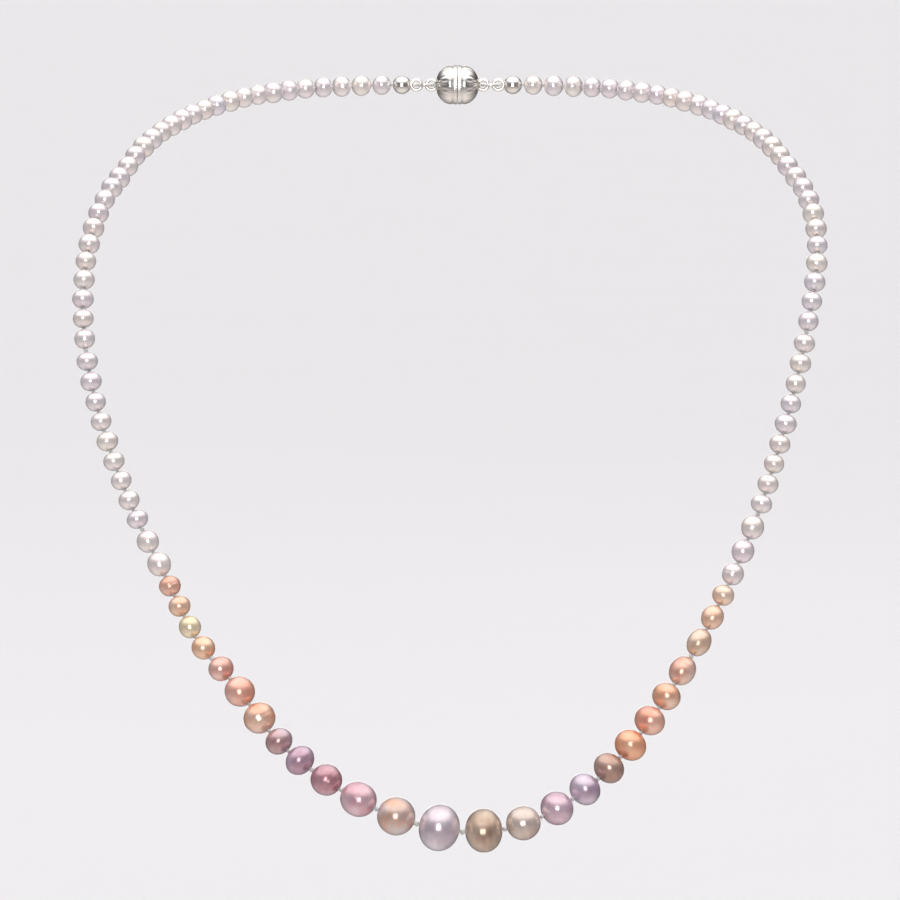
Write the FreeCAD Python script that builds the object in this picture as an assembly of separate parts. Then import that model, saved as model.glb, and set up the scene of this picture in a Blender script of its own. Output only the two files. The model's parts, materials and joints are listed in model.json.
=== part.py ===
import FreeCAD, Part
import math
import os

# A graduated strand of freshwater pearls, knotted on silk, lying as it is worn round a neck.
# Units are millimetres. +Z is up, the front of the neck is at -Y and the nape at +Y.
# The origin is midway between the two points where the strand crosses the tops of the shoulders.

os.makedirs("parts", exist_ok=True)

Vector = FreeCAD.Vector

# ---- driving dimensions ----------------------------------------------------------------------

SILK_RADIUS = 0.30
HOLE_RADIUS = 0.35
KNOT_CLEARANCE = 0.02
SMALL_GAP = 0.40
LARGE_GAP = 1.00
SMALL_WIDTH = 4.0
LARGE_WIDTH = 8.5

# A strand bends most easily at these knots, each one a small ball that the next length of silk
# turns about. They are counted from the centre of the front, or from the shoulder at the back.
DRAPE_KNOTS = [4, 9, 15, 24]
BACK_KNOT = 10
BALL_RADIUS = 0.42
BALL_CLEARANCE = 0.05
BALL_GAP = 0.76

# Each of the large pearls: length along the silk, width across it.
LEFT_PEARLS = [
    (7.30, 8.5), (6.80, 7.0), (6.60, 6.3), (5.70, 5.7), (4.75, 5.6),
    (4.50, 5.1), (5.50, 5.9), (5.50, 5.5), (4.40, 4.7), (4.30, 4.3),
    (4.10, 4.0), (3.75, 4.0), (3.75, 4.0), (4.50, 4.3), (4.10, 4.1),
]
RIGHT_PEARLS = [
    (6.60, 8.1), (6.10, 6.2), (5.70, 6.3), (5.20, 6.0), (5.00, 5.8),
    (5.20, 6.0), (5.00, 5.8), (4.70, 5.4), (5.40, 4.8), (5.20, 4.4),
    (4.50, 4.1), (3.75, 4.0), (4.00, 4.1), (4.30, 4.2), (4.35, 4.2),
]

# The small white pearls are all nearly alike.
WHITE_LENGTH = 3.45
WHITE_WIDTH = 3.80
WHITE_VARIATION = 0.12
LEFT_COUNT = 35
RIGHT_COUNT = 34
BACK_COUNT = 20

# The silk's route, from the centre of the front to each shoulder, and from there to the clasp.
LEFT_ROUTE = [
    (0.8, -59.6, -114.0), (-13.8, -57.8, -110.3), (-25.2, -54.4, -103.8), (-32.9, -51.3, -97.2),
    (-39.6, -47.4, -88.5), (-45.8, -44.0, -81.6), (-49.6, -41.2, -74.5), (-53.6, -38.0, -66.7),
    (-58.6, -34.5, -56.3), (-62.4, -31.2, -46.2), (-65.4, -27.4, -35.4), (-66.7, -23.6, -25.0),
    (-66.3, -18.0, -14.9), (-63.9, -9.6, -6.0), (-60.0, 0.0, 0.0),
]
RIGHT_ROUTE = [
    (0.8, -59.6, -114.0), (15.3, -58.2, -111.2), (24.9, -54.8, -104.8), (32.3, -51.2, -97.1),
    (38.1, -47.4, -89.0), (43.9, -43.3, -79.5), (47.9, -40.2, -71.6), (53.0, -36.0, -59.9),
    (57.0, -31.8, -47.8), (60.4, -27.4, -35.4), (63.0, -22.4, -22.6), (64.2, -16.6, -12.9),
    (63.2, -9.2, -5.6), (60.0, 0.0, 0.0),
]
BACK_ROUTE = [
    (60.0, 0.0, 0.0), (55.4, 11.0, 5.6), (49.3, 22.5, 9.3), (41.6, 34.0, 12.0),
    (32.4, 44.0, 13.6), (22.0, 51.2, 14.3), (12.1, 54.0, 14.5),
]

# The clasp: two domed cups with a magnet in each, held to the strand by rings and bead tips.
NAPE = Vector(0.0, 54.0, 14.5)
CUP_RADIUS = 3.6
CUP_LENGTH = 4.0
CUP_FACE_GAP = 0.03
CUP_RIM = 1.2
MAGNET_RADIUS = 2.6
MAGNET_SEAT = 2.1
MAGNET_STEP = 0.6
MAGNET_RUNNING_CLEARANCE = 0.08
WIRE_RADIUS = 0.30
EYE_RADIUS = 0.95
EYE_CENTRE = 4.75
RING_RADIUS = 1.60
RING_CENTRE = 6.15
HOOK_CENTRE = 7.55
TIP_CENTRE = 10.2
TIP_RADIUS = 1.7
TIP_WALL = 0.4
TIP_MOUTH_RADIUS = 0.45
END_KNOT_RADIUS = 0.8

X_AXIS = Vector(1, 0, 0)
Y_AXIS = Vector(0, 1, 0)
Z_AXIS = Vector(0, 0, 1)
ORIGIN = Vector(0, 0, 0)


# ---- basic shapes ----------------------------------------------------------------------------

def along(shape, start, direction):
    """Move a shape that was made along +X so that it starts at a point and follows a direction."""
    moved = shape.copy()
    moved.Placement = FreeCAD.Placement(start, FreeCAD.Rotation(X_AXIS, direction))
    return moved


def fused(shapes):
    """Join shapes that overlap into one solid."""
    if len(shapes) == 1:
        return shapes[0]
    return shapes[0].multiFuse(shapes[1:]).removeSplitter()


def revolved(edges):
    """Turn a closed outline in the XY plane about the X axis into a solid."""
    return Part.Face(Part.Wire(edges)).revolve(ORIGIN, X_AXIS, 360)


def ring(centre, radius, normal):
    """A round ring of clasp wire."""
    return Part.makeTorus(radius, WIRE_RADIUS, centre, normal)


def drilled_pearl(length, width):
    """A pearl centred on the origin, drilled along X: an ellipse turned about its hole, as spline surfaces."""
    half_length = length / 2
    half_width = width / 2
    mouth = half_length * math.sqrt(1 - (HOLE_RADIUS / half_width) ** 2)
    if half_length >= half_width:
        ellipse = Part.Ellipse(Vector(half_length, 0, 0), Vector(0, half_width, 0), ORIGIN)
    else:
        ellipse = Part.Ellipse(Vector(0, half_width, 0), Vector(-half_length, 0, 0), ORIGIN)
    right = Vector(mouth, HOLE_RADIUS, 0)
    left = Vector(-mouth, HOLE_RADIUS, 0)
    top = Part.Arc(ellipse, ellipse.parameter(right), ellipse.parameter(left)).toShape()
    return revolved([top, Part.makeLine(left, right)]).toNurbs()


# ---- where the knots lie ---------------------------------------------------------------------

class Route:
    """A smooth line through the route's points, measured by the distance along it."""

    def __init__(self, points):
        self.curve = Part.BSplineCurve()
        self.curve.interpolate([Vector(*point) for point in points])
        self.length = self.curve.length()
        self.end = self.curve.value(self.curve.LastParameter)
        self.heading = self.curve.tangent(self.curve.LastParameter)[0]

    def at(self, distance):
        if distance >= self.length:
            return self.end + self.heading * (distance - self.length)
        return self.curve.value(self.curve.parameterAtDistance(distance))


def strung(route, pitches, stretch):
    """The knots on a route, each a straight pitch from the last, and the distance they reach."""
    knots = [route.at(0)]
    reach = 0.0
    for pitch in pitches:
        wanted = pitch * stretch
        reach += wanted
        for _ in range(4):
            reach += wanted - (route.at(reach) - knots[-1]).Length
        knots.append(route.at(reach))
    return knots, reach


def fitted(points, pitches):
    """Knots that end exactly at the route's end, with every pitch stretched alike to do so."""
    route = Route(points)
    stretch = 1.0
    for _ in range(8):
        knots, reach = strung(route, pitches, stretch)
        stretch += (route.length - reach) / sum(pitches)
    knots[-1] = route.end
    return knots, stretch


def white_pearl(index):
    """The length and width of a white pearl, which vary a little from one to the next."""
    length = WHITE_LENGTH + WHITE_VARIATION * math.sin(2.4 * index + 0.3)
    width = WHITE_WIDTH + WHITE_VARIATION * math.sin(1.7 * index + 1.0)
    return length, width


def knot_radius(half_gap):
    """The largest round knot that the mouths of the holes on both sides of it leave room for."""
    return math.hypot(half_gap, HOLE_RADIUS) - KNOT_CLEARANCE


def gap_beside(width):
    """The room for a knot beside a pearl, which grows with the pearl."""
    share = (width - SMALL_WIDTH) / (LARGE_WIDTH - SMALL_WIDTH)
    return SMALL_GAP + (LARGE_GAP - SMALL_GAP) * min(max(share, 0.0), 1.0)


def half_gaps(sizes, ball_knots):
    """Half the gap at each knot, from the pearls on both sides of it."""
    gaps = []
    for index in range(len(sizes) + 1):
        beside = sizes[max(index - 1, 0):index + 1]
        gap = sum(gap_beside(width) for _, width in beside) / len(beside)
        gaps.append((BALL_GAP if index in ball_knots else gap) / 2)
    return gaps


class Strand:
    """A length of the necklace: its knots, and the pearls drawn up between them."""

    def __init__(self, name, points, sizes, ball_knots):
        self.name = name
        gaps = half_gaps(sizes, ball_knots)
        pitches = [gaps[i] + sizes[i][0] + gaps[i + 1] for i in range(len(sizes))]
        self.knots, self.stretch = fitted(points, pitches)
        self.sizes = sizes
        self.gaps = gaps

    def heading(self, index):
        """The direction of the silk through the pearl between knots index and index + 1."""
        return (self.knots[index + 1] - self.knots[index]).normalize()

    def pearl(self, index):
        """The pearl between knots index and index + 1, centred in the room between its gaps."""
        start, end = self.knots[index], self.knots[index + 1]
        room = (end - start).Length - self.gaps[index] - self.gaps[index + 1]
        heading = self.heading(index)
        centre = start + heading * (self.gaps[index] + room / 2)
        return along(drilled_pearl(room, self.sizes[index][1]), centre, heading)

    def pearls(self, first, last):
        """The pearls from knot first to knot last, as separate solids."""
        return Part.makeCompound([self.pearl(index) for index in range(first, last)])

    def sphere(self, index, radius):
        """A sphere about a knot, with its poles on the silk."""
        before = self.knots[max(index - 1, 0)]
        after = self.knots[min(index + 1, len(self.sizes))]
        return Part.makeSphere(radius, self.knots[index], after - before)

    def knot(self, index):
        """An overhand knot drawn tight between two pearls."""
        return self.sphere(index, knot_radius(self.gaps[index]))

    def ball(self, index):
        """The knot that the next length of silk turns about."""
        return self.sphere(index, BALL_RADIUS)

    def room_for_ball(self, index):
        return self.sphere(index, BALL_RADIUS + BALL_CLEARANCE)

    def silk_pieces(self, first, last):
        """The silk from knot first to knot last, with the knots between them."""
        pieces = []
        for index in range(first, last):
            start, end = self.knots[index], self.knots[index + 1]
            straight = Part.makeCylinder(SILK_RADIUS, (end - start).Length, ORIGIN, X_AXIS)
            pieces.append(along(straight, start, self.heading(index)))
        for index in range(first + 1, last):
            pieces.append(self.knot(index))
        return pieces

    def silk(self, first, last, held_at, ball_at):
        """Silk that turns about the ball of another length at some knots, and has its own at others."""
        pieces = self.silk_pieces(first, last) + [self.ball(index) for index in ball_at]
        silk = fused(pieces)
        for index in held_at:
            silk = silk.cut(self.room_for_ball(index))
        return silk


# ---- the clasp's parts, made for the right side of the nape ----------------------------------

def clasp_shape(shapes):
    """Shapes made about the origin, with the clasp's axis on X, fused and moved to the nape."""
    shape = fused(shapes)
    shape.translate(NAPE)
    return shape


def clasp_cup(face, seat):
    """A domed cup with an open seat in its flat face for the magnet, and an eye on its crown."""
    rim = Vector(face, CUP_RADIUS, 0)
    shoulder = Vector(CUP_RIM, CUP_RADIUS, 0)
    crown = Vector(CUP_LENGTH, 0, 0)
    lean = math.pi / 4
    middle = Vector(
        CUP_RIM + (CUP_LENGTH - CUP_RIM) * math.sin(lean),
        CUP_RADIUS * math.cos(lean),
        0,
    )
    seat_corner = Vector(seat, MAGNET_RADIUS, 0)
    mouth_corner = Vector(face, MAGNET_RADIUS, 0)
    outline = [
        Part.makeLine(rim, shoulder),
        Part.Arc(shoulder, middle, crown).toShape(),
        Part.makeLine(crown, Vector(seat, 0, 0)),
        Part.makeLine(Vector(seat, 0, 0), seat_corner),
        Part.makeLine(seat_corner, mouth_corner),
        Part.makeLine(mouth_corner, rim),
    ]
    eye = ring(Vector(EYE_CENTRE, 0, 0), EYE_RADIUS, Y_AXIS)
    return clasp_shape([revolved(outline), eye])


def magnet(inner, outer, radius):
    """A disc magnet whose faces are at two distances from the middle of the clasp."""
    disc = Part.makeCylinder(radius, outer - inner, Vector(inner, 0, 0), X_AXIS)
    return clasp_shape([disc])


def jump_ring():
    """A ring lying level, through the eye and the bead tip's loop."""
    return clasp_shape([ring(Vector(RING_CENTRE, 0, 0), RING_RADIUS, Z_AXIS)])


def bead_tip():
    """A hollow bead that closes over the silk's end knot, with a loop for the jump ring."""
    centre = Vector(TIP_CENTRE, 0, 0)
    loop = ring(Vector(HOOK_CENTRE, 0, 0), EYE_RADIUS, Y_AXIS)
    shell = fused([Part.makeSphere(TIP_RADIUS, centre, X_AXIS), loop])
    shell = shell.cut(Part.makeSphere(TIP_RADIUS - TIP_WALL, centre, X_AXIS))
    mouth = Part.makeCylinder(TIP_MOUTH_RADIUS, 2 * TIP_RADIUS, centre, X_AXIS)
    return clasp_shape([shell.cut(mouth)])


def end_silk(strand, outward):
    """The end of the silk, from the last knot to the end knot inside the bead tip."""
    end_knot = NAPE + Vector(outward * TIP_CENTRE, 0, 0)
    last = strand.knots[-1]
    length = (last - end_knot).Length
    tail = Part.makeCylinder(SILK_RADIUS, length, ORIGIN, X_AXIS)
    joint = strand.sphere(BACK_COUNT, SILK_RADIUS)
    knot = Part.makeSphere(END_KNOT_RADIUS, end_knot, X_AXIS)
    return [along(tail, end_knot, (last - end_knot).normalize()), joint, knot]


# ---- the necklace ----------------------------------------------------------------------------

def save(name, shape):
    shape.exportStep(f"parts/{name}.step")


def on_side(shape, outward):
    """A shape made for the right side, moved to the side that lies in a direction along X."""
    return shape if outward > 0 else shape.mirror(ORIGIN, X_AXIS)


def front_strand(side, points, large, count):
    sizes = large + [white_pearl(index) for index in range(len(large), count)]
    return Strand(side, points, sizes, DRAPE_KNOTS + [count])


def save_front(strand):
    """One side of the front, apart from the silk at the centre, which both sides share."""
    low, middle, upper, shoulder = DRAPE_KNOTS
    end = len(strand.sizes)
    for index in range(len(LEFT_PEARLS)):
        save(f"pearl_{strand.name}_{index + 1:02d}", strand.pearl(index))
    save(f"pearls_{strand.name}_upper", strand.pearls(upper, shoulder))
    save(f"pearls_{strand.name}_shoulder", strand.pearls(shoulder, end))
    lengths = {"lower": (low, middle), "middle": (middle, upper), "upper": (upper, shoulder)}
    for name, (bottom, top) in lengths.items():
        save(f"silk_{strand.name}_{name}", strand.silk(bottom, top, held_at=[top], ball_at=[bottom]))
    shoulder_silk = strand.silk(shoulder, end, held_at=[], ball_at=[shoulder, end])
    save(f"silk_{strand.name}_shoulder", shoulder_silk)


def save_centre_silk(left, right):
    """The silk through the eight lowest pearls, hung from a ball on each side."""
    low = DRAPE_KNOTS[0]
    pieces = left.silk_pieces(0, low) + right.silk_pieces(0, low)
    silk = fused(pieces + [left.knot(0)])
    for strand in (left, right):
        silk = silk.cut(strand.room_for_ball(low))
    save("silk_centre", silk)


def save_back(strand, outward):
    """One side of the back. The two sides mirror each other, so that they open alike."""
    side = strand.name
    save(f"pearls_{side}_back", strand.pearls(0, BACK_KNOT))
    save(f"pearls_{side}_nape", strand.pearls(BACK_KNOT, BACK_COUNT))
    save(f"silk_{side}_back", strand.silk(0, BACK_KNOT, held_at=[0], ball_at=[BACK_KNOT]))
    nape_silk = fused(strand.silk_pieces(BACK_KNOT, BACK_COUNT) + end_silk(strand, outward))
    save(f"silk_{side}_nape", nape_silk.cut(strand.room_for_ball(BACK_KNOT)))
    save(f"bead_tip_{side}", on_side(bead_tip(), outward))
    save(f"jump_ring_{side}", on_side(jump_ring(), outward))
    save(f"clasp_cup_{side}", on_side(clasp_cup(CUP_FACE_GAP, MAGNET_SEAT), outward))


def save_magnets():
    """The left magnet is sunk in its cup, and the right one stands out into the hollow it leaves."""
    sunk = magnet(MAGNET_STEP + CUP_FACE_GAP, MAGNET_SEAT, MAGNET_RADIUS)
    save("clasp_magnet_left", on_side(sunk, -1))
    proud_radius = MAGNET_RADIUS - MAGNET_RUNNING_CLEARANCE
    save("clasp_magnet_right", magnet(-MAGNET_STEP, MAGNET_SEAT, proud_radius))


def back_strand(side, outward):
    points = [(outward * x, y, z) for x, y, z in BACK_ROUTE]
    sizes = [white_pearl(LEFT_COUNT + index) for index in range(BACK_COUNT)]
    return Strand(side, points, sizes, [0, BACK_KNOT])


def print_places(front, back):
    """The places that the joints need, and the lengths."""
    for strand in front:
        for index in DRAPE_KNOTS:
            place = strand.knots[index]
            print(f"{strand.name} ball {index}: {place.x:.3f} {place.y:.3f} {place.z:.3f}")
        for index in range(len(LEFT_PEARLS)):
            heading = strand.heading(index)
            centre = strand.pearl(index).CenterOfMass
            print(f"{strand.name} pearl {index + 1}:", *(f"{v:.3f}" for v in (*centre, *heading)))
    place = back[0].knots[BACK_KNOT]
    print(f"back ball {BACK_KNOT}: {place.x:.3f} {place.y:.3f} {place.z:.3f}")
    whole = 2 * (BACK_ROUTE[-1][0] - NAPE.x)
    for strand in front + back:
        steps = zip(strand.knots, strand.knots[1:])
        length = sum((end - start).Length for start, end in steps)
        whole += length
        print(f"{strand.name}: {length:.1f} mm, stretched by {strand.stretch:.4f}")
    print(f"whole necklace: {whole:.1f} mm")


def main():
    left = front_strand("left", LEFT_ROUTE, LEFT_PEARLS, LEFT_COUNT)
    right = front_strand("right", RIGHT_ROUTE, RIGHT_PEARLS, RIGHT_COUNT)
    save_front(left)
    save_front(right)
    save_centre_silk(left, right)

    right_back = back_strand("right", 1)
    left_back = back_strand("left", -1)
    save_back(right_back, 1)
    save_back(left_back, -1)
    save_magnets()
    print_places([left, right], [right_back, left_back])


main()
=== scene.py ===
import json
import math
import random

import bpy
import numpy as np
from mathutils import Matrix, Vector


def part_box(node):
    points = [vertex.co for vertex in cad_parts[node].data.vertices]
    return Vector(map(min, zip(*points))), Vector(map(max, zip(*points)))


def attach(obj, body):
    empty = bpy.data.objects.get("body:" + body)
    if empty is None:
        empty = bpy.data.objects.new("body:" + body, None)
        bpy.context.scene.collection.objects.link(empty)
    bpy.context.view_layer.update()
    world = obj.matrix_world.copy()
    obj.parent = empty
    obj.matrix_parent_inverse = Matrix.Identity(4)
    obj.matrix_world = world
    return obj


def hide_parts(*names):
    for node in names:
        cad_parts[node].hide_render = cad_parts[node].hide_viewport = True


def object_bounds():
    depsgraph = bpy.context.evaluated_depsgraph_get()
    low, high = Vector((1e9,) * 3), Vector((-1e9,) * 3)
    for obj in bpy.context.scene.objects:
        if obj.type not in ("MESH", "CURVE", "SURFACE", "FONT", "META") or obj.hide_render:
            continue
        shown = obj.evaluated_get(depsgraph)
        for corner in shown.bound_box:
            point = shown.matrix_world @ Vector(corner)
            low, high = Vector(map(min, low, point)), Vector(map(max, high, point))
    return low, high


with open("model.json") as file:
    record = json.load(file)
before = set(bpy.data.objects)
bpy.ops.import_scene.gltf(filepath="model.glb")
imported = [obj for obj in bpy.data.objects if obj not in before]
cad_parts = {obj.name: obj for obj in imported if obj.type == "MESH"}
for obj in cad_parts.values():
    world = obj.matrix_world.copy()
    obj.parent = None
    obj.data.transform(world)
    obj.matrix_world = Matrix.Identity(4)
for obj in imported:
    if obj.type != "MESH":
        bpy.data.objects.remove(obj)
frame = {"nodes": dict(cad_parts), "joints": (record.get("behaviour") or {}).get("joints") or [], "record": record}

cad_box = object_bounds()

MM = 0.001
SIDES = ("left", "right")
OUTWARD = {"left": -1, "right": 1}
JOINTS = {joint["name"]: joint for joint in frame["joints"]}
BODY_OF = {node: body for body, nodes in frame["record"]["behaviour"]["bodies"].items() for node in nodes}
LARGE_PEARLS = 15
GROUPS = ("upper", "shoulder", "back", "nape")


# ---- colours -----------------------------------------------------------------------------------

def colour(code):
    """A colour written as six hexadecimal digits, in the renderer's linear values."""
    parts = [int(code[i:i + 2], 16) / 255 for i in (0, 2, 4)]
    return [((c + 0.055) / 1.055) ** 2.4 if c > 0.04045 else c / 12.92 for c in parts] + [1.0]


# The body colour and the overtone of each large pearl, from the centre of the front outwards.
LARGE_COLOURS = {
    "left": [
        ("C3B4C0", "E6DCE6"), ("DDAE96", "CFC4C4"), ("D0A0AE", "E8CED8"), ("B67E8C", "D0A8B6"),
        ("B48CA2", "D0B6CA"), ("BC9498", "CEB8C2"), ("E8AA8A", "F0CAB6"), ("E8A690", "F0CABE"),
        ("E2A698", "F0CCC4"), ("EEB68E", "F5D6BC"), ("F0DFBC", "F6EAD6"), ("EEBEA0", "F4D6C4"),
        ("E8AE9A", "F2D0C2"), ("F4ECE8", "F5E8EA"), ("F3ECE8", "F4E8EC"),
    ],
    "right": [
        ("AC9080", "CDB8A6"), ("BEA498", "D8CAC2"), ("BE9AAC", "E0C8D6"), ("B8A0B6", "D8CADC"),
        ("A67E72", "CAAA9E"), ("F09E76", "F6C4A6"), ("E89C84", "F2C4B2"), ("E8AE8C", "F2D0BC"),
        ("E2A892", "EECCBE"), ("DCB89E", "EAD4C4"), ("ECBC9C", "F4D6C2"), ("EEC6AA", "F5DCCA"),
        ("F0E6E4", "F2E8EE"), ("EEE4E8", "F0E6EE"), ("F2EAE6", "F4EAEE"),
    ],
}
WHITE_COLOURS = [
    ("F4EFEC", "F4EAEE"), ("F2ECEA", "EEE8F2"), ("F5F0EA", "F4EAE8"), ("EFEAEC", "EFE5EE"),
    ("F3EDE8", "F4E9E9"),
]


# ---- materials ---------------------------------------------------------------------------------

class Nodes:
    """The nodes of a material or a world, made and joined by short calls."""

    def __init__(self, owner):
        self.owner = owner
        self.tree = owner.node_tree
        self.shader = self.tree.nodes.get("Principled BSDF")

    def add(self, kind, inputs=None, **settings):
        node = self.tree.nodes.new("ShaderNode" + kind)
        for key, value in settings.items():
            setattr(node, key, value)
        for key, value in (inputs or {}).items():
            if isinstance(value, bpy.types.NodeSocket):
                self.tree.links.new(value, node.inputs[key])
            else:
                node.inputs[key].default_value = value
        return node

    def shade(self, **inputs):
        for key, value in inputs.items():
            socket = self.shader.inputs[key.replace("_", " ")]
            if isinstance(value, bpy.types.NodeSocket):
                self.tree.links.new(value, socket)
            else:
                socket.default_value = value

    def place(self):
        return self.add("TexCoord").outputs["Object"]

    def math(self, operation, first, second=0.0):
        return self.add("Math", {0: first, 1: second}, operation=operation).outputs[0]

    def noise(self, place, scale, detail=3.0, roughness=0.5):
        inputs = {"Vector": place, "Scale": scale, "Detail": detail, "Roughness": roughness}
        return self.add("TexNoise", inputs).outputs["Fac"]

    def spread(self, value, low, high, to_low=0.0, to_high=1.0):
        inputs = {"Value": value, "From Min": low, "From Max": high, "To Min": to_low, "To Max": to_high}
        return self.add("MapRange", inputs).outputs["Result"]

    def mixed(self, share, first, second):
        node = self.add("Mix", data_type="RGBA")
        for key, value in (("Factor", share), ("A", first), ("B", second)):
            # The Mix node has a socket of each name for every kind of data.
            wanted = "VALUE" if key == "Factor" else "RGBA"
            socket = next(s for s in node.inputs if s.name == key and s.type == wanted)
            if isinstance(value, bpy.types.NodeSocket):
                self.tree.links.new(value, socket)
            else:
                socket.default_value = value
        return next(s for s in node.outputs if s.type == "RGBA")

    def bump(self, height, strength, distance, below=None):
        inputs = {"Height": height, "Strength": strength, "Distance": distance}
        if below is not None:
            inputs["Normal"] = below
        return self.add("Bump", inputs).outputs["Normal"]


def material_nodes(name):
    material = bpy.data.materials.new(name)
    material.use_nodes = True
    return Nodes(material)


# The sizes of nacre's patterns, as scales per metre, and how strongly its bands show.
CLOUD_SCALE = 260.0
WOBBLE_SCALE = 420.0
SOFT_SCALE = 700.0
PIT_SCALE = 900.0
GRAIN_SCALE = 2600.0
BAND_RADIANS_PER_METRE = 5200.0
BAND_WOBBLE = 0.4 * MM
BAND_SHARE = 0.05


def nacre(name, body, overtone, drift):
    """Nacre: a body colour with a cloudy overtone, faint growth bands and a soft deep lustre."""
    nodes = material_nodes(name)
    place = nodes.add("Mapping", {"Vector": nodes.place(), "Location": drift}).outputs["Vector"]
    cloud = nodes.spread(nodes.noise(place, CLOUD_SCALE, 2.0), 0.35, 0.65)
    tone = nodes.mixed(cloud, colour(body), colour(overtone))
    across = nodes.add("SeparateXYZ", {"Vector": place}).outputs["X"]
    wobble = nodes.noise(place, WOBBLE_SCALE, 2.0)
    bands = nodes.math("ADD", across, nodes.spread(wobble, 0.0, 1.0, -BAND_WOBBLE, BAND_WOBBLE))
    wave = nodes.math("SINE", nodes.math("MULTIPLY", bands, BAND_RADIANS_PER_METRE))
    band_share = nodes.spread(wave, -1.0, 1.0, 0.0, BAND_SHARE)
    tone = nodes.mixed(band_share, tone, colour("FFF6F2"))
    grain = nodes.noise(place, GRAIN_SCALE, 4.0, 0.6)
    tone = nodes.mixed(nodes.spread(grain, 0.55, 0.8, 0.0, 0.12), tone, colour("8C6A66"))
    pits = nodes.add("TexVoronoi", {"Vector": place, "Scale": PIT_SCALE}).outputs["Distance"]
    pit_height = nodes.spread(pits, 0.0, 0.22, 0.0, 1.0)
    soft = nodes.bump(nodes.noise(place, SOFT_SCALE, 3.0), 0.10, 0.0002)
    skin = nodes.bump(pit_height, 0.10, 0.00004, soft)
    fine = nodes.bump(grain, 0.05, 0.00003, skin)
    nodes.shade(
        Base_Color=tone,
        Metallic=0.42,
        Roughness=nodes.spread(grain, 0.3, 0.7, 0.17, 0.26),
        IOR=1.60,
        Normal=fine,
        Subsurface_Weight=0.12,
        Subsurface_Scale=0.0009,
        Coat_Weight=0.55,
        Coat_Roughness=0.07,
        Coat_IOR=1.53,
        Thin_Film_Thickness=240.0,
        Thin_Film_IOR=1.42,
    )
    nodes.shader.inputs["Subsurface Radius"].default_value = (1.0, 0.72, 0.6)
    return nodes.owner


def silk_material():
    """Twisted silk thread: pale plies with a soft sheen."""
    nodes = material_nodes("silk")
    place = nodes.place()
    fibre = nodes.noise(place, 9000.0, 3.0, 0.7)
    tone = nodes.mixed(nodes.spread(fibre, 0.3, 0.7), colour("F0EAE6"), colour("FFFCF8"))
    nodes.shade(
        Base_Color=tone,
        Roughness=nodes.spread(fibre, 0.2, 0.8, 0.45, 0.6),
        Normal=nodes.bump(fibre, 0.4, 0.00005),
        Sheen_Weight=0.4,
        Sheen_Roughness=0.35,
        Subsurface_Weight=0.35,
        Subsurface_Scale=0.0006,
    )
    return nodes.owner


def silver_material():
    """Polished silver with fine rubbing marks and a little tarnish in its clouds."""
    nodes = material_nodes("silver")
    place = nodes.place()
    stretched = nodes.add("Mapping", {"Vector": place, "Scale": (1.0, 9.0, 9.0)}).outputs["Vector"]
    rubbed = nodes.noise(stretched, 2400.0, 5.0, 0.65)
    cloud = nodes.noise(place, 330.0, 3.0)
    tone = nodes.mixed(nodes.spread(cloud, 0.45, 0.75, 0.0, 0.35), colour("ECEAE6"), colour("BDB6AA"))
    nodes.shade(
        Base_Color=tone,
        Metallic=1.0,
        Roughness=nodes.spread(rubbed, 0.3, 0.7, 0.12, 0.24),
        Normal=nodes.bump(rubbed, 0.12, 0.00003),
    )
    return nodes.owner


def magnet_material():
    """Nickel plate on the magnets, with a faint turned grain."""
    nodes = material_nodes("magnet_plate")
    place = nodes.place()
    stretched = nodes.add("Mapping", {"Vector": place, "Scale": (1.0, 6.0, 1.0)}).outputs["Vector"]
    grain = nodes.noise(stretched, 3000.0, 4.0)
    tone = nodes.mixed(nodes.spread(grain, 0.3, 0.7), colour("A9AAAE"), colour("C6C6C8"))
    nodes.shade(
        Base_Color=tone,
        Metallic=1.0,
        Roughness=nodes.spread(grain, 0.3, 0.7, 0.28, 0.42),
        Normal=nodes.bump(grain, 0.15, 0.00003),
    )
    return nodes.owner


# ---- meshes ------------------------------------------------------------------------------------

def mesh_object(name, vertices, faces, material):
    mesh = bpy.data.meshes.new(name)
    mesh.from_pydata([tuple(v) for v in vertices], [], faces)
    mesh.materials.append(material)
    mesh.polygons.foreach_set("use_smooth", [True] * len(mesh.polygons))
    mesh.update()
    made = bpy.data.objects.new(name, mesh)
    bpy.context.scene.collection.objects.link(made)
    return made


def joined_rings(count, around, wraps):
    """Quads between rings of points, each ring closed, and the last ring joined to the first if wraps."""
    faces = []
    for i in range(count if wraps else count - 1):
        a, b = i * around, ((i + 1) % count) * around
        for j in range(around):
            k = (j + 1) % around
            faces.append((a + j, b + j, b + k, a + k))
    return faces


def turned(outline, around, shape=None):
    """The vertices and faces of a closed outline of (x, r) points turned about X.
    A shape gives each vertex's share of r, from its place in the outline and its angle."""
    vertices = []
    for i, (x, r) in enumerate(outline):
        for j in range(around):
            angle = 2 * math.pi * j / around
            reach = r * (shape(i, angle) if shape else 1.0)
            vertices.append((x, reach * math.cos(angle), reach * math.sin(angle)))
    return vertices, joined_rings(len(outline), around, True)


def frames_along(points, closed):
    """Each point of a path with the next one, and two directions across the path that turn with it."""
    count = len(points)
    normal = None
    for i, point in enumerate(points):
        ahead = points[(i + 1) % count] if closed else points[min(i + 1, count - 1)]
        behind = points[i - 1] if closed else points[max(i - 1, 0)]
        heading = (ahead - behind).normalized()
        if normal is None:
            normal = heading.orthogonal().normalized()
        normal = (normal - heading * normal.dot(heading)).normalized()
        yield point, ahead, normal, heading.cross(normal)


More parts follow.
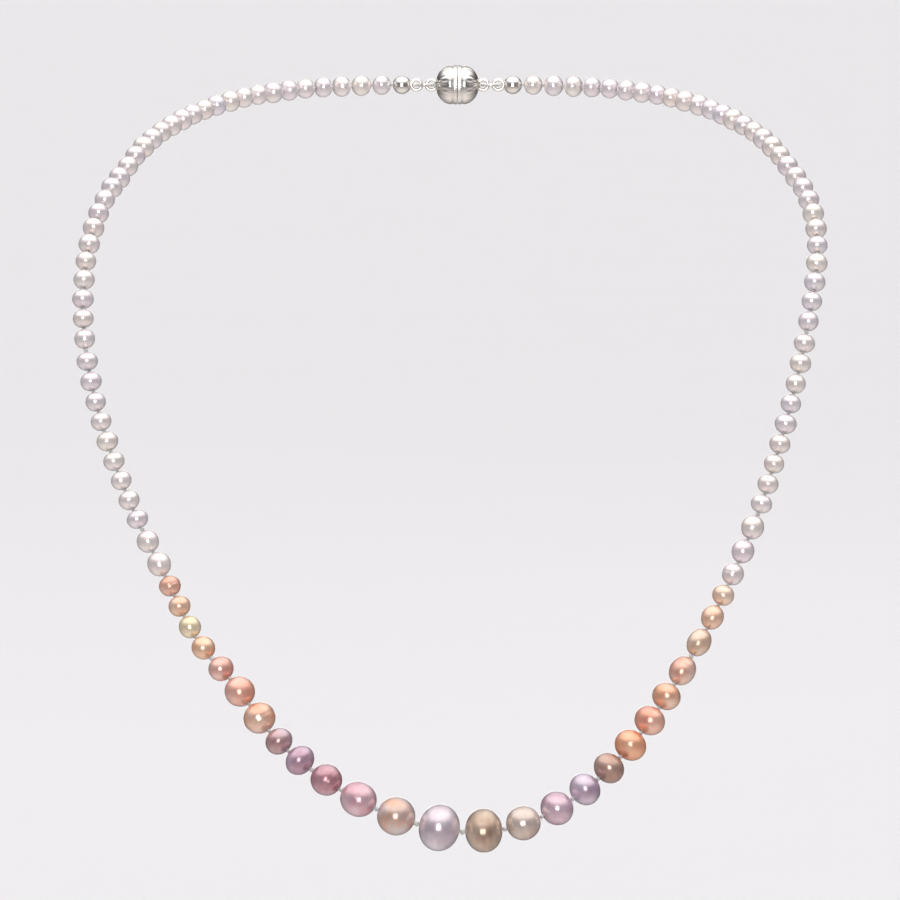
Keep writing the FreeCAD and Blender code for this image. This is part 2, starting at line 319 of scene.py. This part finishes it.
def tube(path, radius, sides, closed=False):
    """The vertices and faces of a round tube along a path of points, with flat ends unless closed."""
    points = [Vector(p) for p in path]
    count = len(points)
    vertices = []
    for point, _, normal, side in frames_along(points, closed):
        for j in range(sides):
            angle = 2 * math.pi * j / sides
            vertices.append(point + (normal * math.cos(angle) + side * math.sin(angle)) * radius)
    faces = joined_rings(count, sides, closed)
    if not closed:
        faces.append(tuple(reversed(range(sides))))
        faces.append(tuple(range((count - 1) * sides, count * sides)))
    return vertices, faces


def gathered(name, parts, material):
    """One object from several (vertices, faces) pairs."""
    vertices, faces = [], []
    for more_vertices, more_faces in parts:
        start = len(vertices)
        vertices += more_vertices
        faces += [tuple(start + i for i in face) for face in more_faces]
    return mesh_object(name, vertices, faces, material)


# ---- the pearls' places, measured from the frame -------------------------------------------------

def solids_of(node):
    """The points of each separate solid of a CAD node."""
    mesh = frame["nodes"][node].data
    points = np.array([v.co for v in mesh.vertices], float)
    keys = [tuple(p) for p in np.round(points / 1e-7).astype(int)]
    group = {key: key for key in keys}

    def root(key):
        while group[key] != key:
            group[key] = group[group[key]]
            key = group[key]
        return key

    for polygon in mesh.polygons:
        first = root(keys[polygon.vertices[0]])
        for index in polygon.vertices[1:]:
            group[root(keys[index])] = first
    found = {}
    for point, key in zip(points, keys):
        found.setdefault(root(key), []).append(point)
    return [np.array(cluster) for cluster in found.values()]


HOLE_SEARCH = 0.6 * MM
HOLE_RADIUS = 0.34 * MM
SEARCH_ROUNDS = 3


class Pearl:
    """A CAD pearl's centre, the direction of its hole, and its size, all in metres.
    A pearl with a joint takes its centre and direction from it, and any other from the ends of its hole."""

    def __init__(self, name, node, points, toward, centre=None):
        self.name = name
        self.node = node
        middle = (points.min(0) + points.max(0)) / 2 if centre is None else centre
        heading = np.array(toward / np.linalg.norm(toward))
        for _ in range(SEARCH_ROUNDS if centre is None else 0):
            offset = points - middle
            reach = offset @ heading
            aside = np.linalg.norm(offset - np.outer(reach, heading), axis=1)
            by_hole = aside < HOLE_SEARCH
            ends = [points[by_hole & (reach * sign > 0)].mean(0) for sign in (1, -1)]
            middle = (ends[0] + ends[1]) / 2
            heading = (ends[0] - ends[1]) / np.linalg.norm(ends[0] - ends[1])
        offset = points - middle
        reach = offset @ heading
        self.mouth = float(np.abs(reach).max())
        self.half_width = float(np.linalg.norm(offset - np.outer(reach, heading), axis=1).max())
        self.middle = Vector(middle)
        self.heading = Vector(heading)

    def end(self, sign):
        return self.middle + self.heading * (sign * self.mouth)


def pearls_of_side(side):
    """All the pearls of one side in order, from the centre of the front to the nape."""
    found = []
    for index in range(1, LARGE_PEARLS + 1):
        name = f"pearl_{side}_{index:02d}"
        points = solids_of(name)[0]
        joint = JOINTS[f"spin_{side}_{index:02d}"]
        axis, centre = np.array(joint["axis"], float), np.array(joint["pos_m"], float)
        found.append(Pearl("nacre_" + name, name, points, axis, centre))
    for group in GROUPS:
        node = f"pearls_{side}_{group}"
        left_over = solids_of(node)
        while left_over:
            last = np.array(found[-1].middle)
            left_over.sort(key=lambda points: np.linalg.norm(points.mean(0) - last))
            points = left_over.pop(0)
            name = f"nacre_white_{side}_{len(found) + 1:02d}"
            found.append(Pearl(name, node, points, points.mean(0) - last))
    return found


# ---- pearls ------------------------------------------------------------------------------------

HOLE_LIP = 0.06 * MM
HOLE_STEPS = 4
# Rounded as the seeded draws below were made with them.
FULL_TURN = 6.28
HALF_TURN = 3.14
LUMP_WAVE = 3.1


def pearl_outline(pearl, rings):
    """(x, r) points from one mouth of the hole over the outside to the other, and back inside."""
    share = HOLE_RADIUS / pearl.half_width
    half_length = pearl.mouth / math.sqrt(1 - share ** 2)
    first = math.asin((HOLE_RADIUS + HOLE_LIP) / pearl.half_width)
    outside = []
    for i in range(rings + 1):
        turn = first + (math.pi - 2 * first) * i / rings
        outside.append((half_length * math.cos(turn), pearl.half_width * math.sin(turn)))
    end = outside[0][0] - HOLE_LIP
    inside = [(end * (1 - 2 * i / HOLE_STEPS), HOLE_RADIUS) for i in range(HOLE_STEPS, -1, -1)]
    return outside, inside


def pearl_shape(rings, seed, large):
    """How far in the surface is drawn at each place: a little off round, with faint rings and dents."""
    chance = random.Random(seed)
    oval = chance.uniform(0.01, 0.045 if large else 0.03)
    oval_at = chance.uniform(0, math.pi)
    lumps = []
    for _ in range(5):
        depth = chance.uniform(0.002, 0.010)
        lumps.append((depth, chance.choice((1, 2, 3)), chance.choice((1, 2, 3)),
                      chance.uniform(0, FULL_TURN), chance.uniform(0, FULL_TURN)))
    grooves = [(chance.uniform(0.25, 0.75), chance.uniform(0.004, 0.012), chance.uniform(0.03, 0.06))
               for _ in range(chance.choice((0, 1, 2, 3)))]
    dimples = [(chance.uniform(0.2, 0.8), chance.uniform(0, FULL_TURN), chance.uniform(0.008, 0.02),
                chance.uniform(0.05, 0.09)) for _ in range(chance.choice((0, 1, 2)))]

    def drawn_in(index, angle):
        if index > rings:
            return 1.0
        along = index / rings
        window = math.sin(math.pi * along)
        amount = oval * math.cos(angle - oval_at) ** 2
        for depth, turns, waves, phase, shift in lumps:
            lump = math.cos(turns * angle + phase) * math.cos(waves * LUMP_WAVE * along + shift)
            amount += depth * (1 + lump) / 2
        for at, depth, width in grooves:
            amount += depth * math.exp(-((along - at) / width) ** 2)
        for at, round_at, depth, width in dimples:
            away = (angle - round_at + math.pi) % (2 * math.pi) - math.pi
            distance = ((along - at) * HALF_TURN) ** 2 + away ** 2 * window
            amount += depth * math.exp(-distance / (2 * (3 * width) ** 2))
        return 1 - amount * window ** 0.5

    return drawn_in


def make_pearl(pearl, material, large, seed):
    rings, around = (44, 64) if large else (28, 40)
    outside, inside = pearl_outline(pearl, rings)
    shape = pearl_shape(rings, seed, large)
    made = mesh_object(pearl.name, *turned(outside + inside, around, shape), material)
    twist = Matrix.Rotation(random.Random(seed + 7).uniform(0, FULL_TURN), 4, "X")
    turn = Vector((1, 0, 0)).rotation_difference(pearl.heading).to_matrix().to_4x4()
    made.matrix_world = Matrix.Translation(pearl.middle) @ turn @ twist
    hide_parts(pearl.node)
    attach(made, BODY_OF[pearl.node])
    return made


def make_pearls(side, pearls):
    chance = random.Random(11 if side == "left" else 12)
    for index, pearl in enumerate(pearls):
        large = index < LARGE_PEARLS
        body, overtone = LARGE_COLOURS[side][index] if large else chance.choice(WHITE_COLOURS)
        drift = [chance.uniform(-1, 1) for _ in range(3)]
        material = nacre(pearl.name, body, overtone, drift)
        make_pearl(pearl, material, large, seed=100 * OUTWARD[side] + index + 500)


# ---- silk --------------------------------------------------------------------------------------

PLY_SHARE = 0.52
PLY_TURNS_PER_METRE = 900.0
THREAD_RADIUS = 0.24 * MM
THREAD_STEP = 0.10 * MM
KNOT_POINTS = 48
KNOT_THREAD_MOST = 0.22 * MM
KNOT_CLEARANCE = 0.01 * MM
KNOT_DEPTH_LEAST = 0.02 * MM
LAST_KNOT_GAP = 0.2 * MM
END_KNOT_HALF_GAP = 0.5 * MM
# How far a thread stops short of a ball knot that it doesn't carry.
BALL_ROOM = 0.40 * MM
# The knots where two bodies of the front meet, counted from its centre, and the pearls behind the shoulder.
DRAPE_KNOTS = {"centre": 4, "lower": 9, "middle": 15, "upper": 24}
BACK_KNOT = 10
BACK_PEARLS = 20


def twisted(path, radius, closed=False, sides=6):
    """Two plies that turn about each other along a path."""
    points = [Vector(p) for p in path]
    parts = []
    for ply in range(2):
        strand, travelled = [], 0.0
        for point, ahead, normal, side in frames_along(points, closed):
            angle = math.pi * ply + 2 * math.pi * travelled * PLY_TURNS_PER_METRE
            outward = normal * math.cos(angle) + side * math.sin(angle)
            strand.append(point + outward * radius * (1 - PLY_SHARE))
            travelled += (ahead - point).length
        parts.append(tube(strand, radius * PLY_SHARE, sides, closed))
    return parts


def knot_at(place, heading, half_gap, radius):
    """An overhand knot drawn tight, a trefoil of silk about the thread's line."""
    turn = Vector((1, 0, 0)).rotation_difference(heading).to_matrix()
    thread = min(0.30 * half_gap + 0.07 * MM, KNOT_THREAD_MOST)
    reach = (radius - thread) / 3
    depth = max(half_gap - thread - KNOT_CLEARANCE, KNOT_DEPTH_LEAST)
    path = []
    for i in range(KNOT_POINTS):
        t = 2 * math.pi * i / KNOT_POINTS
        local = Vector((
            -depth * math.sin(3 * t),
            reach * (math.sin(t) + 2 * math.sin(2 * t)),
            reach * (math.cos(t) - 2 * math.cos(2 * t)),
        ))
        path.append(place + turn @ local)
    return twisted(path, thread, closed=True, sides=5)


def knots_of_side(pearls, first):
    """The middle of the gap before each pearl, and after the last."""
    places = [first]
    for before, after in zip(pearls, pearls[1:]):
        places.append((before.end(1) + after.end(-1)) / 2)
    places.append(pearls[-1].end(1) + pearls[-1].heading * LAST_KNOT_GAP)
    return places


def straight_run(start, end):
    count = max(int((end - start).length / THREAD_STEP), 2)
    return [start.lerp(end, i / count) for i in range(count)]


def make_silk(node, places, half_gaps, knotted, held, material):
    """One node's silk through its places in order, with a knot at each of the knotted ones."""
    points = list(places)
    if 0 in held:
        points[0] = points[0] + (points[1] - points[0]).normalized() * BALL_ROOM
    if len(places) - 1 in held:
        points[-1] = points[-1] + (points[-2] - points[-1]).normalized() * BALL_ROOM
    path = []
    for start, end in zip(points, points[1:]):
        path += straight_run(start, end)
    path.append(points[-1])
    parts = twisted(path, THREAD_RADIUS)
    for index in knotted:
        before = places[max(index - 1, 0)]
        after = places[min(index + 1, len(places) - 1)]
        half_gap = half_gaps[index]
        radius = math.hypot(half_gap, HOLE_RADIUS) - KNOT_CLEARANCE
        parts += knot_at(places[index], (after - before).normalized(), half_gap, radius)
    made = gathered(node + "_twist", parts, material)
    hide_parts(node)
    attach(made, BODY_OF[node])
    return made


def make_all_silk(strands, centre, material):
    """Each node's silk runs between the knots where two bodies meet."""
    places, gaps = {}, {}
    for side in SIDES:
        pearls = strands[side]
        places[side] = knots_of_side(pearls, centre)
        gaps[side] = [(places[side][0] - pearls[0].end(-1)).length]
        for index in range(1, len(pearls)):
            gaps[side].append((pearls[index].end(-1) - pearls[index - 1].end(1)).length / 2)
        gaps[side].append(LAST_KNOT_GAP)

    low = DRAPE_KNOTS["centre"]
    both = places["left"][low:0:-1] + places["right"][:low + 1]
    both_gaps = gaps["left"][low:0:-1] + gaps["right"][:low + 1]
    last = len(both) - 1
    make_silk("silk_centre", both, both_gaps, range(1, last), [0, last], material)

    for side in SIDES:
        shoulder_end = len(strands[side]) - BACK_PEARLS
        back_end = shoulder_end + BACK_KNOT
        # Each run's first and last knot, and how many knots at its start and end belong to its neighbours.
        runs = {
            "lower": (DRAPE_KNOTS["centre"], DRAPE_KNOTS["lower"], 0, 1),
            "middle": (DRAPE_KNOTS["lower"], DRAPE_KNOTS["middle"], 0, 1),
            "upper": (DRAPE_KNOTS["middle"], DRAPE_KNOTS["upper"], 0, 1),
            "shoulder": (DRAPE_KNOTS["upper"], shoulder_end, 0, 0),
            "back": (shoulder_end, back_end, 1, 0),
            "nape": (back_end, shoulder_end + BACK_PEARLS, 1, 1),
        }
        for name, (start, end, not_first, not_last) in runs.items():
            run = places[side][start:end + 1]
            run_gaps = gaps[side][start:end + 1]
            top = len(run) - 1
            knotted = range(not_first, top + 1 - not_last)
            held = [0] * not_first + [top] * not_last
            node = f"silk_{side}_{name}"
            if name == "nape":
                run = run + [end_knot_place(side)]
                run_gaps = run_gaps + [END_KNOT_HALF_GAP]
                knotted = list(knotted) + [top + 1]
                held = [0]
            make_silk(node, run, run_gaps, knotted, held, material)


# ---- the clasp -----------------------------------------------------------------------------------

# Distances from the middle of the clasp, in millimetres, as the CAD has them.
EYE_RADIUS = 0.95
EYE_CENTRE = 4.75
RING_RADIUS = 1.60
RING_CENTRE = 6.15
HOOK_CENTRE = 7.55
TIP_CENTRE = 10.2
TIP_RADIUS = 1.7
TIP_WALL = 0.4
TIP_MOUTH_RADIUS = 0.45
WIRE_RADIUS = 0.30
CUP_RADIUS = 3.6
CUP_LENGTH = 4.0
CUP_RIM = 1.2
CUP_FACE = 0.03
MAGNET_RADIUS = 2.6
MAGNET_SEAT = 2.1
MAGNET_STEP = 0.6
MAGNET_RUNNING_CLEARANCE = 0.08
# Outlines stop just short of the axis, so that no faces there have no area.
CUP_AXIS_RADIUS = 0.05
AXIS_RADIUS = 0.02
WIRE_SIDES = 16


def nape_place():
    """The middle of the clasp: x is 0, and the cup is centred on its y and z."""
    low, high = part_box("clasp_cup_right")
    centre = (low + high) / 2
    return Vector((0, centre.y, centre.z))


def end_knot_place(side):
    return nape_place() + Vector((OUTWARD[side] * TIP_CENTRE * MM, 0, 0))


def at_nape(made, side, node):
    """Put a piece that was made in millimetres along +X at the nape, on its side."""
    flip = Matrix.Rotation(math.pi, 4, "Z") if side == "left" else Matrix.Identity(4)
    made.matrix_world = Matrix.Translation(nape_place()) @ flip @ Matrix.Scale(MM, 4)
    bpy.context.view_layer.update()
    made.data.transform(made.matrix_world)
    made.matrix_world = Matrix.Identity(4)
    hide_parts(node)
    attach(made, BODY_OF[node])
    return made


def circle(centre, radius, normal_is_y, count=48):
    """Points round a ring in the XZ plane, or in the XY plane."""
    points = []
    for i in range(count):
        angle = 2 * math.pi * i / count
        across, up = radius * math.cos(angle), radius * math.sin(angle)
        points.append((centre + across, 0, up) if normal_is_y else (centre + across, up, 0))
    return points


CUP_EDGE = 0.12
DOME_POINTS = 26


def cup_outline():
    """A dome with a beaded rim, a groove inside it and an open seat for the magnet."""
    edge, shoulder = CUP_EDGE, CUP_RADIUS - 0.03
    rim = [
        (CUP_FACE, MAGNET_RADIUS + edge), (CUP_FACE, CUP_RADIUS - edge),
        (CUP_FACE + edge * 0.3, CUP_RADIUS - edge * 0.3), (CUP_FACE + edge, CUP_RADIUS),
        (0.62, CUP_RADIUS), (0.72, CUP_RADIUS - 0.04), (0.80, CUP_RADIUS - 0.16),
        (0.90, CUP_RADIUS - 0.16), (0.98, CUP_RADIUS - 0.06), (CUP_RIM, shoulder),
    ]
    turns = [math.pi / 2 * i / DOME_POINTS for i in range(1, DOME_POINTS)]
    dome = [(CUP_RIM + (CUP_LENGTH - CUP_RIM) * math.sin(turn), shoulder * math.cos(turn)) for turn in turns]
    crown = [(CUP_LENGTH, CUP_AXIS_RADIUS), (MAGNET_SEAT, CUP_AXIS_RADIUS)]
    seat = [
        (MAGNET_SEAT, MAGNET_RADIUS), (CUP_FACE + edge, MAGNET_RADIUS),
        (CUP_FACE + edge * 0.3, MAGNET_RADIUS + edge * 0.3),
    ]
    return rim + dome + crown + seat


FLUTES = 24
FLUTE_DEPTH = 0.035
RIM_CUTS = 72
RIM_CUT_DEPTH = 0.012


def fluted(index, angle):
    """The dome's shallow flutes, which fade out at the rim and at the crown."""
    first, last = 11, 32
    if not first <= index <= last:
        return 1.0
    fade = math.sin(math.pi * (index - first) / (last - first))
    return 1.0 - FLUTE_DEPTH * fade * (0.5 + 0.5 * math.cos(FLUTES * angle))


def milled(index, angle):
    """Small cuts round the rim's band, then the flutes."""
    if index in (3, 4):
        return 1.0 - RIM_CUT_DEPTH * (0.5 + 0.5 * math.cos(RIM_CUTS * angle))
    return fluted(index, angle)


def make_cup(side, material):
    """A fluted cup with its eye, and a collar of solder where the eye stands."""
    eye = tube(circle(EYE_CENTRE, EYE_RADIUS, True), WIRE_RADIUS, WIRE_SIDES, closed=True)
    collar = [
        (CUP_LENGTH - 0.5, CUP_AXIS_RADIUS), (CUP_LENGTH - 0.5, 1.05), (CUP_LENGTH - 0.12, 1.0),
        (CUP_LENGTH + 0.06, 0.75), (CUP_LENGTH + 0.16, 0.5), (CUP_LENGTH + 0.16, CUP_AXIS_RADIUS),
    ]
    parts = [turned(cup_outline(), 288, milled), eye, turned(collar, 32)]
    made = gathered(f"clasp_{side}", parts, material)
    return at_nape(made, side, f"clasp_cup_{side}")


def make_magnet(side, material):
    """A disc with turned edges, sunk in the left cup and standing out of the right one."""
    proud = side == "right"
    front = -MAGNET_STEP if proud else MAGNET_STEP + CUP_FACE
    radius = MAGNET_RADIUS - (MAGNET_RUNNING_CLEARANCE if proud else 0.0)
    edge = 0.1
    outline = [(front, AXIS_RADIUS), (front, radius - edge), (front + edge * 0.3, radius - edge * 0.3),
               (front + edge, radius), (MAGNET_SEAT, radius), (MAGNET_SEAT, AXIS_RADIUS)]
    made = mesh_object(f"magnet_{side}", *turned(outline, 64), material)
    return at_nape(made, side, f"clasp_magnet_{side}")


def make_jump_ring(side, material):
    """A ring of round wire, cut across where it was opened, with the cut closed to a hair."""
    points = circle(RING_CENTRE, RING_RADIUS, False, 72)
    cut_at = 16
    opened = points[cut_at + 1:] + points[:cut_at]
    made = gathered(f"ring_{side}", [tube(opened, WIRE_RADIUS, WIRE_SIDES)], material)
    return at_nape(made, side, f"jump_ring_{side}")


SEAM_WIDTH = 0.2
SEAM_DEPTH = 0.045


def make_bead_tip(side, material):
    """Two cups folded over the end knot, with a seam where they close, and a loop of wire."""
    inner = TIP_RADIUS - TIP_WALL
    count = 28
    first = math.asin(TIP_MOUTH_RADIUS / TIP_RADIUS)
    inside_first = math.asin(TIP_MOUTH_RADIUS / inner)
    outline = []
    for i in range(count):
        turn = first + (math.pi - first) * i / count
        outline.append((TIP_CENTRE + TIP_RADIUS * math.cos(turn), TIP_RADIUS * math.sin(turn)))
    outline += [(TIP_CENTRE - TIP_RADIUS, AXIS_RADIUS), (TIP_CENTRE - inner, AXIS_RADIUS)]
    for i in range(1, count + 1):
        turn = math.pi - (math.pi - inside_first) * i / count
        outline.append((TIP_CENTRE + inner * math.cos(turn), inner * math.sin(turn)))

    def seamed(index, angle):
        if index >= count:
            return 1.0
        seam = min(abs(math.sin(angle)) * outline[index][1], SEAM_WIDTH) / SEAM_WIDTH
        return 1.0 - SEAM_DEPTH * (1.0 - seam) ** 2

    shell = turned(outline, 64, seamed)
    loop = tube(circle(HOOK_CENTRE, EYE_RADIUS, True), WIRE_RADIUS, WIRE_SIDES, closed=True)
    made = gathered(f"calotte_{side}", [shell, loop], material)
    return at_nape(made, side, f"bead_tip_{side}")


def make_clasp():
    silver = silver_material()
    plate = magnet_material()
    for side in SIDES:
        make_cup(side, silver)
        make_magnet(side, plate)
        make_jump_ring(side, silver)
        make_bead_tip(side, silver)


# ---- stage, light and camera -----------------------------------------------------------------------

FLOOR_DROP = 0.030
FLOOR_SIZE = 60.0
FLOOR_COLOURS = ("DADBDD", "DCDDDF")
BACKGROUND_COLOUR = "E8E8EA"


def make_floor():
    """A plain pale floor. It is left out of reflections: the pearls mirror the light from below instead."""
    nodes = material_nodes("floor")
    grain = nodes.noise(nodes.place(), 6.0, 4.0)
    tone = nodes.mixed(nodes.spread(grain, 0.3, 0.7), *[colour(code) for code in FLOOR_COLOURS])
    nodes.shade(Base_Color=tone, Roughness=nodes.spread(grain, 0.3, 0.7, 0.6, 0.7), Specular_IOR_Level=0.2)
    z = cad_box[0].z - FLOOR_DROP
    half = FLOOR_SIZE / 2
    corners = [(-half, -half, z), (half, -half, z), (half, half, z), (-half, half, z)]
    floor = mesh_object("floor", corners, [(0, 1, 2, 3)], nodes.owner)
    floor.visible_glossy = False


# The studio's light by height, from straight down to straight up: (sine of the height, colour, strength).
STUDIO = [
    (-1.0, "F6EEEA", 1.05),
    (-0.75, "F6EEEA", 0.95),
    (-0.22, "D6CED4", 0.26),
    (0.30, "CCCAD2", 0.18),
    (0.50, "F0ECEE", 0.70),
    (0.68, "FFFBFB", 1.75),
    (1.0, "FFFBFB", 1.85),
]
# The side behind the necklace is darker, which keeps the pearls' rims from washing out.
BEHIND_SHARE = 0.5
# The softbox in front, and its like behind, as slopes away from the line through the object.
BOX_MIDDLE = (-0.05, 0.10)
BOX_HALF_SIZE = (0.26, 0.30)
BOX_SOFT_EDGE = 0.12
BOX_STRENGTHS = (5.5, 1.6)


def make_world():
    """Pale all round as seen. As light: a bright ceiling, dark walls and a warm bounce from below.
    A softbox in front and one behind show in reflections only, as a small bright mark on each pearl."""
    world = bpy.data.worlds.new("studio")
    bpy.context.scene.world = world
    world.use_nodes = True
    nodes = Nodes(world)
    nodes.tree.nodes.clear()
    direction = nodes.add("TexCoord").outputs["Generated"]
    apart = nodes.add("SeparateXYZ", {"Vector": direction})
    ramp = nodes.add("ValToRGB", {"Fac": nodes.spread(apart.outputs["Z"], -1.0, 1.0)})
    ramp.color_ramp.interpolation = "B_SPLINE"
    while len(ramp.color_ramp.elements) < len(STUDIO):
        ramp.color_ramp.elements.new(1.0)
    brightest = max(strength for _, _, strength in STUDIO)
    for element, (sine, code, strength) in zip(ramp.color_ramp.elements, STUDIO):
        element.position = (sine + 1) / 2
        element.color = [c * strength / brightest for c in colour(code)[:3]] + [1.0]
    shade = nodes.spread(apart.outputs["Y"], 0.1, 0.8, brightest, brightest * BEHIND_SHARE)
    around = nodes.add("Background", {"Color": ramp.outputs["Color"], "Strength": shade})

    away = nodes.math("ABSOLUTE", apart.outputs["Y"])
    share = nodes.add("LightPath").outputs["Is Glossy Ray"]
    for axis, middle, half_size in zip("XZ", BOX_MIDDLE, BOX_HALF_SIZE):
        slope = nodes.math("DIVIDE", apart.outputs[axis], away)
        off = nodes.math("ABSOLUTE", nodes.math("SUBTRACT", slope, middle))
        inside = nodes.spread(off, half_size - BOX_SOFT_EDGE, half_size, 1.0, 0.0)
        share = nodes.math("MULTIPLY", share, inside)
    strength = nodes.math("MULTIPLY", share, nodes.spread(apart.outputs["Y"], -0.1, 0.1, *BOX_STRENGTHS))
    box = nodes.add("Background", {"Color": colour("FFFFFF"), "Strength": strength})
    lit = nodes.add("AddShader", {0: around.outputs[0], 1: box.outputs[0]})
    seen = nodes.add("Background", {"Color": colour(BACKGROUND_COLOUR), "Strength": 1.0})
    camera = nodes.add("LightPath").outputs["Is Camera Ray"]
    mixed = nodes.add("MixShader", {0: camera, 1: lit.outputs[0], 2: seen.outputs[0]})
    output = nodes.add("OutputWorld")
    nodes.tree.links.new(mixed.outputs[0], output.inputs["Surface"])


# Weak softboxes, one high at the front and one behind: (name, place from the object's middle, power).
SOFTBOXES = [
    ("front_softbox", (-0.30, -0.80, 1.10), 1.6),
    ("back_softbox", (0.40, 0.90, 1.0), 1.0),
]
SOFTBOX_SIZE = 0.7


def make_lights(middle):
    """Softboxes for the form's shading and the shadow on the floor, which show in no reflection."""
    for name, place, power in SOFTBOXES:
        light = bpy.data.lights.new(name, "AREA")
        light.shape = "RECTANGLE"
        light.size = SOFTBOX_SIZE
        light.size_y = SOFTBOX_SIZE
        light.energy = power
        made = bpy.data.objects.new(name, light)
        bpy.context.scene.collection.objects.link(made)
        made.location = middle + Vector(place)
        made.rotation_mode = "QUATERNION"
        made.rotation_quaternion = (middle - made.location).to_track_quat("-Z", "Y")
        made.visible_camera = False
        made.visible_glossy = False


CAMERA_DISTANCE = 2.2
CAMERA_ELEVATION = math.radians(3.0)
FRAME_FILL = 0.84
SENSOR = 36.0


def make_camera(middle):
    """Nearly level with the front of the strand, far back with a long lens."""
    data = bpy.data.cameras.new("camera")
    made = bpy.data.objects.new("camera", data)
    bpy.context.scene.collection.objects.link(made)
    forward = Vector((0, math.cos(CAMERA_ELEVATION), -math.sin(CAMERA_ELEVATION)))
    made.location = middle - forward * CAMERA_DISTANCE
    made.rotation_mode = "QUATERNION"
    made.rotation_quaternion = forward.to_track_quat("-Z", "Y")
    tall = cad_box[1].z - cad_box[0].z
    data.sensor_width = SENSOR
    data.lens = SENSOR * CAMERA_DISTANCE / (tall / FRAME_FILL)
    data.clip_start = 0.05
    data.clip_end = 60.0
    bpy.context.scene.camera = made


# ---- the necklace ----------------------------------------------------------------------------------

def main():
    strands = {side: pearls_of_side(side) for side in SIDES}
    centre = (strands["left"][0].end(-1) + strands["right"][0].end(-1)) / 2
    make_all_silk(strands, centre, silk_material())
    for side in SIDES:
        make_pearls(side, strands[side])
    make_clasp()
    make_floor()
    make_world()
    middle = (cad_box[0] + cad_box[1]) / 2
    make_lights(middle)
    make_camera(middle)
    bpy.context.scene.view_settings.view_transform = "Standard"


main()
